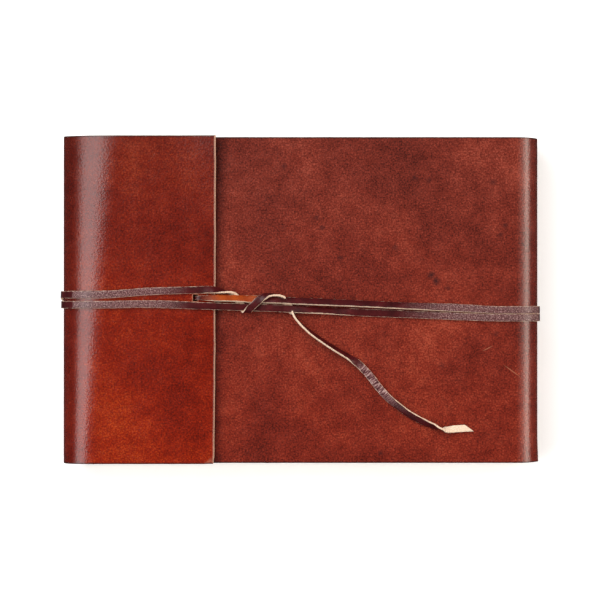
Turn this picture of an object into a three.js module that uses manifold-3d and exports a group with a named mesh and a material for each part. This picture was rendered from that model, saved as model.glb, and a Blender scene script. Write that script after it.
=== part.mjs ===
// A limp leather notebook. One hide wraps a sewn paper block: back, spine and front
// cover in one piece, then a rolled fore edge and a flap that folds back over the
// front. A flat lace is pulled through a slit in the flap, goes twice round the
// book and is hitched on itself with a free tail.
// Millimetres, +Z up. The book lies closed on its back, spine towards +X, and the
// origin is the middle of its footprint on the table.
import * as THREE from 'three';
import { mergeVertices } from 'three/addons/utils/BufferGeometryUtils.js';
import Module from 'manifold-3d';

// Driving dimensions
const BOOK_LENGTH = 222;         // rolled fore edge to spine, along X
const BOOK_WIDTH = 153.4;        // tail to head, along Y
const CLOSED_HEIGHT = 26.4;      // table to the grain side of the front cover
const LEATHER = 1.8;             // thickness of the hide
const FLAP_LIFT = 1.0;           // air between the front cover and the flap
const SPINE_ROUND = 11;          // outside radius of both spine edges
const ROLL_REACH = 18;           // how far the fore-edge roll runs along X
const FLAP_EDGE_X = -40;         // the flap's cut edge
const PAGE_WIDTH = 147.6;        // head to tail of the paper
const PAGE_EDGE_X = -96.5;       // trimmed fore edge of the paper
const SECTION_COUNT = 9;         // folded sections in the paper block
const SHEET_GAP = 0.1;           // air between neighbouring sections
const PANEL_GAP = 0.3;           // room between two stretches of the hide
const LINING = 0.3;              // cloth glued over the section folds
const ENDPAPER = 0.35;           // doubled sheet inside each cover
const STITCH_COUNT = 5;          // long stitches along the middle fold
const STITCH_LENGTH = 20;
const STITCH_PITCH = 27;
const STITCH_RADIUS = 0.35;
const LACE_WIDTH = 3.5;
const LACE_THICKNESS = 1.0;
const LACE_STANDOFF = 0.75;      // hide surface to the middle of the lace
const SLIT = { x: -49.6, y: 1.0, length: 3.3, width: 1.8 };
const TROUGH_DEPTH = 1.4;        // groove that the tight lace presses into the back

// Places worked out from them
const HALF_LENGTH = BOOK_LENGTH / 2;
const SPINE_X = HALF_LENGTH - SPINE_ROUND;
const ROLL_X = -HALF_LENGTH + ROLL_REACH;
const FLAP_TOP = CLOSED_HEIGHT + FLAP_LIFT + LEATHER;
const ROLL_RISE = FLAP_TOP / 2;
const MIDDLE_Z = CLOSED_HEIGHT / 2;
const LINING_RADIUS = SPINE_ROUND - LEATHER - SHEET_GAP;
const BLOCK_LOW = LEATHER + SHEET_GAP + ENDPAPER + SHEET_GAP;
const SECTION_PITCH = (CLOSED_HEIGHT - 2 * BLOCK_LOW) / SECTION_COUNT;
const LACE_ON_COVER = CLOSED_HEIGHT + LACE_STANDOFF;
const LACE_ON_FLAP = FLAP_TOP + LACE_STANDOFF;
const LACE_UNDER = 0.6;          // height of the lace in the groove under the book

// The lace leaves the spine at these two places and the fore edge at these two
const SPINE_Y = [-4.6, -8.2];
const FORE_Y = { upper: 2.5, lower: -2.2 };

const wasm = await Module();
wasm.setup();

function hide() {
  return new THREE.MeshStandardMaterial({ color: 0x8a2a16, roughness: 0.5, metalness: 0 });
}

function flapHide() {
  return new THREE.MeshStandardMaterial({ color: 0xa03510, roughness: 0.42, metalness: 0 });
}

function laceHide() {
  return new THREE.MeshStandardMaterial({ color: 0x4a161a, roughness: 0.5, metalness: 0 });
}

function paper() {
  return new THREE.MeshStandardMaterial({ color: 0xeee4cf, roughness: 0.9, metalness: 0 });
}

function cloth() {
  return new THREE.MeshStandardMaterial({ color: 0xd9ccb0, roughness: 0.95, metalness: 0 });
}

function thread() {
  return new THREE.MeshStandardMaterial({ color: 0xe8dcc0, roughness: 0.8, metalness: 0 });
}

// A shape drawn in X and Z, drawn out along Y and centred on it
function prism(shape, width) {
  const geometry = new THREE.ExtrudeGeometry(shape, {
    depth: width, bevelEnabled: false, curveSegments: 12,
  });
  geometry.rotateX(Math.PI / 2);
  geometry.translate(0, width / 2, 0);
  return geometry;
}

// A flat panel given by its lowest and highest corners
function slab(low, high) {
  const size = high.map((value, axis) => value - low[axis]);
  const geometry = new THREE.BoxGeometry(...size);
  geometry.translate(...low.map((value, axis) => value + size[axis] / 2));
  return geometry;
}

// Turned about the book's middle plane, so that a lower part becomes its upper twin
function turnedOver(geometry) {
  geometry.rotateX(Math.PI);
  geometry.translate(0, 0, CLOSED_HEIGHT);
  return geometry;
}

function toSolid(geometry) {
  const bare = geometry.clone();
  bare.deleteAttribute('normal');
  bare.deleteAttribute('uv');
  const welded = mergeVertices(bare, 1e-4);
  return new wasm.Manifold(new wasm.Mesh({
    numProp: 3,
    vertProperties: new Float32Array(welded.attributes.position.array),
    triVerts: new Uint32Array(welded.index.array),
  }));
}

function cutAway(geometry, tool) {
  const mesh = toSolid(geometry).subtract(toSolid(tool)).getMesh();
  const cut = new THREE.BufferGeometry();
  cut.setAttribute('position', new THREE.BufferAttribute(mesh.vertProperties, 3));
  cut.setIndex(new THREE.BufferAttribute(mesh.triVerts, 1));
  return cut;
}

// The shallow groove under the book, wide enough for both turns of the lace
function trough() {
  const side = LACE_WIDTH / 2 + 0.5;
  const spineEnd = SPINE_X + 8;
  const rollEnd = ROLL_X - 10;
  const shape = new THREE.Shape();
  shape.moveTo(rollEnd, FORE_Y.lower - side);
  shape.lineTo(spineEnd, SPINE_Y[1] - side);
  shape.lineTo(spineEnd, SPINE_Y[0] + side);
  shape.lineTo(rollEnd, FORE_Y.upper + side);
  shape.closePath();
  const below = 2;
  const geometry = new THREE.ExtrudeGeometry(shape, {
    depth: TROUGH_DEPTH + below, bevelEnabled: false,
  });
  geometry.translate(0, 0, -below);
  return geometry;
}

function backCover() {
  const half = BOOK_WIDTH / 2;
  const panel = slab([ROLL_X, -half, 0], [SPINE_X - PANEL_GAP, half, LEATHER]);
  return cutAway(panel, trough());
}

function frontCover() {
  const half = BOOK_WIDTH / 2;
  return slab(
    [PAGE_EDGE_X - 0.5, -half, CLOSED_HEIGHT - LEATHER],
    [SPINE_X - PANEL_GAP, half, CLOSED_HEIGHT],
  );
}

// Half of the spine: a quarter round and a short upright up to the middle crease
function spineHalf() {
  const top = MIDDLE_Z - PANEL_GAP / 2;
  const inside = SPINE_ROUND - LEATHER;
  const shape = new THREE.Shape();
  shape.absarc(SPINE_X, SPINE_ROUND, SPINE_ROUND, -Math.PI / 2, 0, false);
  shape.lineTo(SPINE_X + SPINE_ROUND, top);
  shape.lineTo(SPINE_X + inside, top);
  shape.absarc(SPINE_X, SPINE_ROUND, inside, 0, -Math.PI / 2, true);
  shape.closePath();
  return prism(shape, BOOK_WIDTH);
}

// Half of the cloth lining that holds the section folds to the hide
function liningHalf() {
  const top = MIDDLE_Z - PANEL_GAP / 2;
  const inside = LINING_RADIUS - LINING;
  const start = -Math.PI / 2.4;
  const shape = new THREE.Shape();
  shape.absarc(SPINE_X, SPINE_ROUND, LINING_RADIUS, start, 0, false);
  shape.lineTo(SPINE_X + LINING_RADIUS, top);
  shape.lineTo(SPINE_X + inside, top);
  shape.absarc(SPINE_X, SPINE_ROUND, inside, 0, start, true);
  shape.closePath();
  return prism(shape, PAGE_WIDTH - 16);
}

// The hide rolled round the fore edge, half an ellipse from the back up to the flap
function foreEdgeRoll() {
  const bend = Math.PI / 2;
  const shape = new THREE.Shape();
  shape.absellipse(ROLL_X - PANEL_GAP, ROLL_RISE, ROLL_REACH - PANEL_GAP, ROLL_RISE,
    bend, 3 * bend, false);
  shape.absellipse(ROLL_X - PANEL_GAP, ROLL_RISE, ROLL_REACH - LEATHER - PANEL_GAP,
    ROLL_RISE - LEATHER, 3 * bend, bend, true);
  shape.closePath();
  return cutAway(prism(shape, BOOK_WIDTH), trough());
}

function flap() {
  const half = BOOK_WIDTH / 2;
  const panel = slab([ROLL_X, -half, FLAP_TOP - LEATHER], [FLAP_EDGE_X, half, FLAP_TOP]);
  const { x, y, length, width } = SLIT;
  const slit = slab([x - width / 2, y - length / 2, CLOSED_HEIGHT],
    [x + width / 2, y + length / 2, FLAP_TOP + LEATHER]);
  return cutAway(panel, slit);
}

// How far a fold of this thickness reaches into the rounded spine at this height
function foldCentre(z, radius) {
  const depth = Math.max(0, SPINE_ROUND - Math.min(z, CLOSED_HEIGHT - z));
  const reach = LINING_RADIUS - LINING - 0.15 - radius;
  return SPINE_X + Math.sqrt(Math.max(0, reach * reach - depth * depth));
}

// A folded section of leaves: flat, trimmed at the fore edge, round at its fold
function section(low, high, foldX) {
  const radius = (high - low) / 2;
  const middle = low + radius;
  const shape = new THREE.Shape();
  shape.moveTo(PAGE_EDGE_X, low);
  shape.absarc(foldX ?? foldCentre(middle, radius), middle, radius,
    -Math.PI / 2, Math.PI / 2, false);
  shape.lineTo(PAGE_EDGE_X, high);
  shape.closePath();
  return prism(shape, PAGE_WIDTH);
}

function endpaper() {
  const half = PAGE_WIDTH / 2;
  const low = LEATHER + SHEET_GAP;
  return slab([ROLL_X - 1, -half, low], [SPINE_X, half, low + ENDPAPER]);
}

function stitch(place) {
  const geometry = new THREE.CylinderGeometry(STITCH_RADIUS, STITCH_RADIUS, STITCH_LENGTH, 8);
  geometry.translate(SPINE_X + 7.95, place * STITCH_PITCH, MIDDLE_Z);
  return geometry;
}

// A flat lace along a route. Each route point is [x, y, z, grain side's direction],
// and the section is a rectangle square to the route and to that direction.
function lace(route, width = LACE_WIDTH, thickness = LACE_THICKNESS) {
  const at = route.map(([x, y, z]) => new THREE.Vector3(x, y, z));
  const corners = [];
  route.forEach(([, , , grain], i) => {
    const along = at[Math.min(i + 1, at.length - 1)].clone().sub(at[Math.max(i - 1, 0)]);
    const across = along.cross(new THREE.Vector3(...grain)).setLength(width / 2);
    const step = at[Math.min(i + 1, at.length - 1)].clone().sub(at[Math.max(i - 1, 0)]);
    const up = across.clone().cross(step).setLength(thickness / 2);
    for (const [side, face] of [[-1, -1], [-1, 1], [1, 1], [1, -1]]) {
      const corner = at[i].clone().addScaledVector(across, side).addScaledVector(up, face);
      corners.push(corner.x, corner.y, corner.z);
    }
  });
  const triangles = [];
  for (let ring = 0; ring < at.length - 1; ring += 1) {
    for (let side = 0; side < 4; side += 1) {
      const here = ring * 4 + side;
      const next = ring * 4 + (side + 1) % 4;
      triangles.push(here, next, next + 4, here, next + 4, here + 4);
    }
  }
  const last = (at.length - 1) * 4;
  triangles.push(0, 2, 1, 0, 3, 2, last, last + 1, last + 2, last, last + 2, last + 3);
  const geometry = new THREE.BufferGeometry();
  geometry.setAttribute('position', new THREE.Float32BufferAttribute(corners, 3));
  geometry.setIndex(triangles);
  return geometry;
}

const UP = [0, 0, 1];
const DOWN = [0, 0, -1];

// Over the spine from the front cover down to the groove under the book
function roundSpine(y) {
  const radius = SPINE_ROUND + LACE_STANDOFF;
  const place = (degrees, z) => {
    const turn = THREE.MathUtils.degToRad(degrees);
    const out = [Math.cos(turn), 0, Math.sin(turn)];
    return [SPINE_X + radius * out[0], y, z + radius * out[2], out];
  };
  const upper = [90, 72, 54, 36, 18, 0].map(
    (degrees) => place(degrees, CLOSED_HEIGHT - SPINE_ROUND));
  const lower = [0, -20, -40, -58].map((degrees) => place(degrees, SPINE_ROUND));
  return [...upper, ...lower, [SPINE_X + 3.5, y, LACE_UNDER + 0.05, DOWN]];
}

// A place on the fore-edge roll: 0 degrees under it, 90 at its nose, 180 on the flap
function onRoll(degrees, y, lift = 0) {
  const turn = THREE.MathUtils.degToRad(degrees);
  const out = LACE_STANDOFF + lift;
  return [
    ROLL_X - (ROLL_REACH + out) * Math.sin(turn),
    y,
    ROLL_RISE - (ROLL_RISE + out) * Math.cos(turn),
    [-Math.sin(turn) / ROLL_REACH, 0, -Math.cos(turn) / ROLL_RISE],
  ];
}

// Up the lower half of the roll, where the two turns change places
function upTheRoll(from, to, lift) {
  const steps = [
    [30, 0, 0], [39, 0, 0.75], [48, 0.15, 1], [60, 0.5, 1], [72, 0.85, 1], [81, 1, 0.5],
    [90, 1, 0],
  ];
  return [
    [ROLL_X - 3, from, LACE_UNDER, DOWN],
    [ROLL_X - 8.2, from, LACE_UNDER + 0.18, DOWN],
    ...steps.map(([degrees, share, rise]) => (
      onRoll(degrees, from + (to - from) * share, lift * rise))),
  ];
}

function overTheRoll(y) {
  return [92, 105, 120, 135, 150, 165, 180].map((degrees) => onRoll(degrees, y));
}

// The route of the lace, stretch by stretch, from its skived end under the flap
const UNDER_FLAP = [
  [-58, 1, 26.95, UP],
  [-50.4, 1, 26.9, UP],
  [-49.8, 1, 27.3, [-0.7, 0, 0.7]],
  [-49.6, 1, 28.2, [-1, 0, 0]],
  [-49.4, 1, 29.5, [-0.8, 0, 0.6]],
  [-48.3, 1, LACE_ON_FLAP, UP],
];

const FIRST_FRONT = [
  [-47.9, 1, 30.25, [0, 0.3, 1]],
  [-40.5, 0.95, 30.3, [0, 0.3, 1]],
  [-34, 0.9, 29.5, [0, 0.2, 1]],
  [-28, 0.7, 28.4, UP],
  [-20, 0.4, 28.3, UP],
  [-10, 0, 28.4, UP],
  [0, -0.6, 28.9, [0, 0.25, 1]],
  [10, -1.0, 28.5, [0, 0.6, 0.8]],
  [28, -1.8, 28.1, [0, 0.6, 0.8]],
  [50, -2.8, 27.9, [0, 0.5, 0.85]],
  [75, -3.8, 27.3, [0, 0.1, 1]],
  [92, SPINE_Y[0], LACE_ON_COVER, UP],
];

const SECOND_FRONT = [
  [-70, -1.9, LACE_ON_FLAP, UP],
  [-41, -2.9, LACE_ON_FLAP, UP],
  [-34, -3.1, 29.2, UP],
  [-28, -3.3, 28.35, UP],
  [-10, -3.8, 28.35, UP],
  [1, -4.5, 28.35, UP],
  [12, -5.1, 27.3, UP],
  [28, -5.8, LACE_ON_COVER, UP],
  [56, -6.9, LACE_ON_COVER, UP],
  [92, SPINE_Y[1], LACE_ON_COVER, UP],
];

const HITCH = [
  [-70, 4.0, LACE_ON_FLAP, UP],
  [-45, 4.7, LACE_ON_FLAP, UP],
  [-40.2, 4.8, LACE_ON_FLAP, UP],
  [-37.4, 4.9, 29.3, [0, 0.6, 0.8]],
  [-34.8, 4.9, 28.6, [0, 1, 0.2]],
  [-32.6, 4.7, 28.4, [0.4, 0.8, -0.4]],
  [-30.9, 3.9, 27.4, [0.1, 0.2, -1]],
  [-29.9, 2.2, 27.1, DOWN],
  [-28.8, -0.2, 27.1, DOWN],
  [-27.4, -3.4, 27.1, DOWN],
  [-26.2, -6.2, 27.15, [0, -0.2, -1]],
  [-25.2, -7.8, 27.75, [0.2, -1, -0.3]],
  [-24.4, -7.9, 29, [0.2, -0.8, 0.8]],
  [-23.2, -6, 29.75, [0, -0.1, 1]],
  [-21, -2.6, 29.75, UP],
  [-18.8, 0.4, 29.75, UP],
  [-16.4, 2.9, 29.7, [0.1, 0.3, 1]],
  [-13.4, 4.5, 28.7, [0.1, 1, 0.3]],
  [-10.8, 4.7, 28.2, [0.3, 0.8, -0.6]],
  [-9.2, 3.8, 27.4, [0.1, 0.2, -1]],
  [-8.2, 2.2, 27.1, DOWN],
  [-6.8, -0.4, 27.1, DOWN],
  [-5.4, -3.8, 27.1, DOWN],
  [-4.2, -6.6, 27.15, DOWN],
];

const TAIL = [
  [-4, -7.3, 27.3, [0.2, 0.1, -1]],
  [-2, -9.9, 28.4, [0.8, 0.4, -0.3]],
  [1.4, -12.7, 28.4, [0.7, 0.6, 0.1]],
  [5.6, -16, 28.3, [0.6, 0.7, 0.15]],
  [9.4, -18.8, 28.3, [0.6, 0.7, 0.2]],
  [16.8, -23.4, 28.2, [0.6, 0.7, 0.3]],
  [22, -26.4, 28.2, [0.5, 0.6, 0.6]],
  [26.4, -29.2, 27.6, [0.2, 0.2, 1]],
  [31.7, -34.3, LACE_ON_COVER, UP],
  [36.4, -40.4, LACE_ON_COVER, UP],
  [40.8, -45.5, LACE_ON_COVER, UP],
  [45.1, -49, 27.35, [-0.1, -0.15, 1]],
  [49.7, -52.4, 27.6, [-0.2, -0.3, 1]],
  [55.8, -56.1, 27.8, [-0.25, -0.4, 1]],
  [61.6, -58.9, 28.2, [-0.3, -0.8, 0.8]],
  [66, -60.4, 28.4, [-0.2, -1, 0]],
  [69.6, -60.6, 27.9, [-0.1, -0.5, -1]],
  [74, -60.2, 27.2, DOWN],
  [79.3, -59.8, LACE_ON_COVER, DOWN],
];

const book = new THREE.Group();

function add(name, geometry, material) {
  const mesh = new THREE.Mesh(geometry, material);
  mesh.name = name;
  book.add(mesh);
}

add('back_cover', backCover(), hide());
add('spine_lower', cutAway(spineHalf(), trough()), hide());
add('spine_upper', turnedOver(spineHalf()), hide());
add('front_cover', frontCover(), hide());
add('fore_edge_roll', foreEdgeRoll(), flapHide());
add('flap', flap(), flapHide());
add('spine_lining_lower', liningHalf(), cloth());
add('spine_lining_upper', turnedOver(liningHalf()), cloth());
add('endpaper_back', endpaper(), paper());
add('endpaper_front', turnedOver(endpaper()), paper());

const MIDDLE_SECTION = (SECTION_COUNT + 1) / 2;
const MIDDLE_FOLD_X = SPINE_X + 6.7;
for (let number = 1; number <= SECTION_COUNT; number += 1) {
  const low = BLOCK_LOW + (number - 1) * SECTION_PITCH;
  const high = low + SECTION_PITCH - SHEET_GAP;
  if (number === MIDDLE_SECTION) {
    const gap = SHEET_GAP / 2;
    add(`section_${number}_lower`, section(low, MIDDLE_Z - gap, MIDDLE_FOLD_X), paper());
    add(`section_${number}_upper`, section(MIDDLE_Z + gap, high, MIDDLE_FOLD_X), paper());
  } else {
    add(`section_${number}`, section(low, high), paper());
  }
}

for (let number = 1; number <= STITCH_COUNT; number += 1) {
  add(`stitch_${number}`, stitch(number - (STITCH_COUNT + 1) / 2), thread());
}

add('lace_end', lace(UNDER_FLAP, 2.7, 0.7), laceHide());
add('lace_turn_1', lace([
  ...FIRST_FRONT,
  ...roundSpine(SPINE_Y[0]),
  [SPINE_X - 1, SPINE_Y[0], LACE_UNDER, DOWN],
  ...upTheRoll(FORE_Y.upper, FORE_Y.lower, 0),
]), laceHide());
add('lace_turn_2', lace([
  ...overTheRoll(FORE_Y.lower),
  ...SECOND_FRONT,
  ...roundSpine(SPINE_Y[1]),
  [SPINE_X - 1, SPINE_Y[1], LACE_UNDER, DOWN],
  ...upTheRoll(FORE_Y.lower, FORE_Y.upper, 1.2),
]), laceHide());
add('lace_hitch', lace([...overTheRoll(FORE_Y.upper), ...HITCH]), laceHide());
add('lace_tail', lace(TAIL), laceHide());

export default book;
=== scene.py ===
"""A limp leather notebook tied with a flat lace, in metres, on a pale floor."""
import numpy as np
import bmesh
import bpy
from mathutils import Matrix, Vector


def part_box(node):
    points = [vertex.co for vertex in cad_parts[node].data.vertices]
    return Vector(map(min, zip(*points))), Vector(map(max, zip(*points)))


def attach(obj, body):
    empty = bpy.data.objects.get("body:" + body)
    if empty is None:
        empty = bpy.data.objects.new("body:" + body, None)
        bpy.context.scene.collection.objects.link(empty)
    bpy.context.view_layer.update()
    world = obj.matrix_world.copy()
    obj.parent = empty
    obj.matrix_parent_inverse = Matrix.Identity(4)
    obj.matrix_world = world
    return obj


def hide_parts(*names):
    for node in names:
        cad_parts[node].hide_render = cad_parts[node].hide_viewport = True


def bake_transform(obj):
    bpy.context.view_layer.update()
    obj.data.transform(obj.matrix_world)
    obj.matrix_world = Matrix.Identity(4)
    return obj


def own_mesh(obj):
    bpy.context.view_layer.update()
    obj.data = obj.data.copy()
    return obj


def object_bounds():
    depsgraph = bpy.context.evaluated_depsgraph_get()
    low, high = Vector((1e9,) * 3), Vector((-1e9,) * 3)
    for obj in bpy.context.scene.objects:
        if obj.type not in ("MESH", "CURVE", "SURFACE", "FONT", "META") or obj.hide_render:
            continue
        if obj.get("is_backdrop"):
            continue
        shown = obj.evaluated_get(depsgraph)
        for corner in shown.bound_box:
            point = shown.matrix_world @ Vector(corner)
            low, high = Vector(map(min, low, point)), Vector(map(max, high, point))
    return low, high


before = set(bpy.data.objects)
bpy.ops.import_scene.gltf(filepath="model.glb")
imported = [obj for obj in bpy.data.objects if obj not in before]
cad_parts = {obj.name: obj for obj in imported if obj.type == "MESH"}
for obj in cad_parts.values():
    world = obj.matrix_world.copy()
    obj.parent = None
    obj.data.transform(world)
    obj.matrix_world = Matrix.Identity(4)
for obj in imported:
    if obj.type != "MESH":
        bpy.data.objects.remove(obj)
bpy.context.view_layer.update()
MM = 0.001


# ---------------------------------------------------------------------------
# Camera. It looks straight down on the closed book from well above, so that
# the outline is almost a plan view.
# ---------------------------------------------------------------------------
cover_low, cover_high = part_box("front_cover")
COVER_TOP = cover_high.z
VIEW_WIDTH = 279.6 * MM
VIEW_DISTANCE = 1.9
SENSOR = 36.0

camera_data = bpy.data.cameras.new("plan_camera")
camera_data.sensor_width = SENSOR
camera_data.lens = SENSOR * VIEW_DISTANCE / VIEW_WIDTH
camera_data.clip_end = 20
camera = bpy.data.objects.new("plan_camera", camera_data)
camera.location = (-0.23 * MM, 0, COVER_TOP + VIEW_DISTANCE)
bpy.context.scene.collection.objects.link(camera)
bpy.context.scene.camera = camera
bpy.context.scene.view_settings.view_transform = "Standard"


# ---------------------------------------------------------------------------
# Lace. One strip cut from a dyed hide: dark oxblood on its grain side, raw and
# pale on its cut edges and flesh side. It is pulled through the flap's slit,
# goes twice round the book and is hitched round its own two strands.
# ---------------------------------------------------------------------------
LACE_WIDTH = 3.35 * MM
LACE_THICKNESS = 0.88 * MM
LACE_STEP = 0.5 * MM
LACE_CLEAR = 0.1 * MM
UP = (0, 0, 1)
DOWN = (0, 0, -1)

flap_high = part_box("flap")[1]
FLAP_TOP = flap_high.z
LACE_ON_COVER = 27.15
LACE_ON_FLAP = 29.95
LACE_UNDER = 0.6
SPINE_X = 100.0
SPINE_ROUND = 11.0
ROLL_X = -93.0
ROLL_REACH = 18.0
ROLL_RISE = 14.6
STANDOFF = 0.75
SPINE_Y = (-4.6, -8.2)
FORE_UPPER = 2.5
FORE_LOWER = -2.2

# Each route point is x, y, z in millimetres and the way the grain side looks.
THROUGH_SLIT = [
    (-58, 1, 26.95, UP),
    (-49.4, 1, 26.9, UP),
    (-48.8, 1, 27.3, (-0.7, 0, 0.7)),
    (-48.6, 1, 28.2, (-1, 0, 0)),
    (-48.4, 1, 29.4, (-0.8, 0, 0.6)),
    (-47.4, 1, 29.85, UP),
]
FIRST_FRONT = [
    (-44.9, 1, 29.95, (0, 0.1, 1)),
    (-40.5, 0.95, 30.05, (0, 0.35, 0.9)),
    (-34, 0.85, 29.5, (0, 0.55, 0.85)),
    (-28, 0.6, 29.0, (0, 0.55, 0.85)),
    (-20, 0.3, 28.7, (0, 0.3, 1)),
    (-10, -0.1, 28.9, (0, 0.5, 0.85)),
    (0, -0.6, 28.9, (0, 0.52, 0.85)),
    (10, -1.0, 28.6, (0, 0.55, 0.85)),
    (28, -1.8, 28.2, (0, 0.55, 0.85)),
    (50, -2.8, 28.0, (0, 0.55, 0.85)),
    (75, -3.8, 27.4, (0, 0.2, 1)),
    (92, SPINE_Y[0], LACE_ON_COVER, UP),
]
SECOND_FRONT = [
    (-70, -1.9, LACE_ON_FLAP, UP),
    (-41, -2.9, LACE_ON_FLAP, UP),
    (-34, -3.1, 29.2, UP),
    (-28, -3.3, 28.35, UP),
    (-10, -3.9, 28.35, UP),
    (1, -4.5, 28.4, (0, 0.35, 1)),
    (6, -4.8, 28.1, (0, 0.55, 0.85)),
    (12, -5.1, 27.8, (0, 0.55, 0.85)),
    (18, -5.4, 27.5, (0, 0.4, 1)),
    (28, -5.8, LACE_ON_COVER, UP),
    (56, -6.9, LACE_ON_COVER, UP),
    (92, SPINE_Y[1], LACE_ON_COVER, UP),
]
HITCH = [
    (-70, 4.0, LACE_ON_FLAP, UP),
    (-47, 4.7, LACE_ON_FLAP, UP),
    (-42.5, 4.8, 30.0, (0, 0.3, 1)),
    (-39.2, 4.6, 29.8, (0, 0.6, 0.8)),
    (-36.2, 4.2, 29.3, (0, 0.9, 0.4)),
    (-34.3, 3.9, 28.9, (0, 1, 0.15)),
    (-32.6, 3.5, 28.4, (0.3, 1, -0.2)),
    (-31.1, 2.6, 27.7, (0.5, 0.6, -0.7)),
    (-29.9, 1.0, 27.2, (0.2, 0.2, -1)),
    (-28.6, -0.9, 27.1, DOWN),
    (-27.4, -2.9, 27.1, DOWN),
    (-26.2, -4.5, 27.3, (0, -0.5, -0.9)),
    (-25.5, -5.5, 28.2, (0.1, -1, 0)),
    (-24.8, -5.3, 29.3, (0.1, -0.75, 0.65)),
    (-23.7, -4.1, 29.85, (0, -0.1, 1)),
    (-21.6, -2.2, 29.95, UP),
    (-19.4, -0.1, 29.95, (-0.1, 0.1, 1)),
    (-17.1, 1.5, 29.85, (-0.3, 0.5, 0.85)),
    (-14.6, 2.4, 29.4, (-0.35, 0.85, 0.4)),
    (-12.0, 2.4, 28.9, (0, 1, 0.15)),
    (-9.8, 1.9, 28.3, (0.3, 1, -0.2)),
    (-8.3, 0.9, 27.7, (0.5, 0.7, -0.6)),
    (-7.0, -0.8, 27.2, (0.4, 0.2, -1)),
    (-5.4, -3.0, 27.15, (0.2, 0.1, -1)),
    (-4.2, -4.9, 27.15, (0.35, 0.2, -1)),
]
TAIL = [
    (-3.5, -6.3, 27.9, (0.9, 0.45, 0.05)),
    (-2.6, -8.0, 28.2, (0.85, 0.5, 0.1)),
    (-1.0, -10.0, 28.35, (0.78, 0.55, 0.1)),
    (1.6, -12.5, 28.4, (0.65, 0.6, 0.25)),
    (5.6, -15.8, 28.3, (0.5, 0.7, 0.4)),
    (9.6, -18.6, 28.2, (0.45, 0.7, 0.45)),
    (16.8, -23.3, 28.1, (0.45, 0.65, 0.5)),
    (22, -26.3, 28.0, (0.4, 0.6, 0.6)),
    (26.2, -29.2, 27.6, (0.15, 0.2, 1)),
    (31.5, -34.4, LACE_ON_COVER, UP),
    (36.2, -40.4, LACE_ON_COVER, UP),
    (40.8, -45.5, LACE_ON_COVER, (-0.1, -0.1, 1)),
    (45.1, -49.1, 27.45, (-0.25, -0.35, 1)),
    (49.7, -52.5, 27.7, (-0.3, -0.45, 0.9)),
    (55.8, -56.0, 27.9, (-0.3, -0.5, 0.9)),
    (61.4, -58.5, 28.2, (-0.3, -0.7, 0.7)),
    (65.6, -60.0, 28.3, (-0.25, -1, 0.1)),
    (68.2, -60.4, 27.9, (-0.1, -0.7, -0.8)),
    (72.5, -60.0, 27.2, DOWN),
    (78.6, -59.6, LACE_ON_COVER, DOWN),
]


def round_spine(y):
    """Two quarter circles joined by a short upright, then down into the groove."""
    radius = SPINE_ROUND + STANDOFF
    rows = []
    upper = [(a, COVER_TOP / MM - SPINE_ROUND) for a in (90, 72, 54, 36, 18, 0)]
    lower = [(a, SPINE_ROUND) for a in (0, -20, -40, -58)]
    for degrees, centre in upper + lower:
        c, s = np.cos(np.radians(degrees)), np.sin(np.radians(degrees))
        rows.append((SPINE_X + radius * c, y, centre + radius * s, (c, 0, s)))
    rows.append((SPINE_X + 3.5, y, LACE_UNDER + 0.05, DOWN))
    rows.append((SPINE_X - 1, y, LACE_UNDER, DOWN))
    return rows


def on_roll(degrees, y, lift=0.0):
    """A place on the half ellipse of the fore edge: 0 under it, 90 at its nose, 180 on top."""
    c, s = np.cos(np.radians(degrees)), np.sin(np.radians(degrees))
    out = STANDOFF + lift
    look = (-s / ROLL_REACH, 0, -c / ROLL_RISE)
    return (ROLL_X - (ROLL_REACH + out) * s, y, ROLL_RISE - (ROLL_RISE + out) * c, look)


def up_the_roll(start, end, lift):
    """Up the lower half of the roll while y goes from start to end, one strand over the other."""
    rows = [(ROLL_X - 3, start, LACE_UNDER, DOWN), (ROLL_X - 8.2, start, LACE_UNDER + 0.18, DOWN)]
    steps = [(30, 0, 0), (39, 0, 0.75), (48, 0.15, 1), (60, 0.5, 1), (72, 0.85, 1), (81, 1, 0.5),
             (90, 1, 0)]
    for degrees, share, rise in steps:
        rows.append(on_roll(degrees, start + (end - start) * share, lift * rise))
    return rows


def over_the_roll(y):
    return [on_roll(a, y) for a in (105, 120, 135, 150, 165, 180)]


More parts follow.
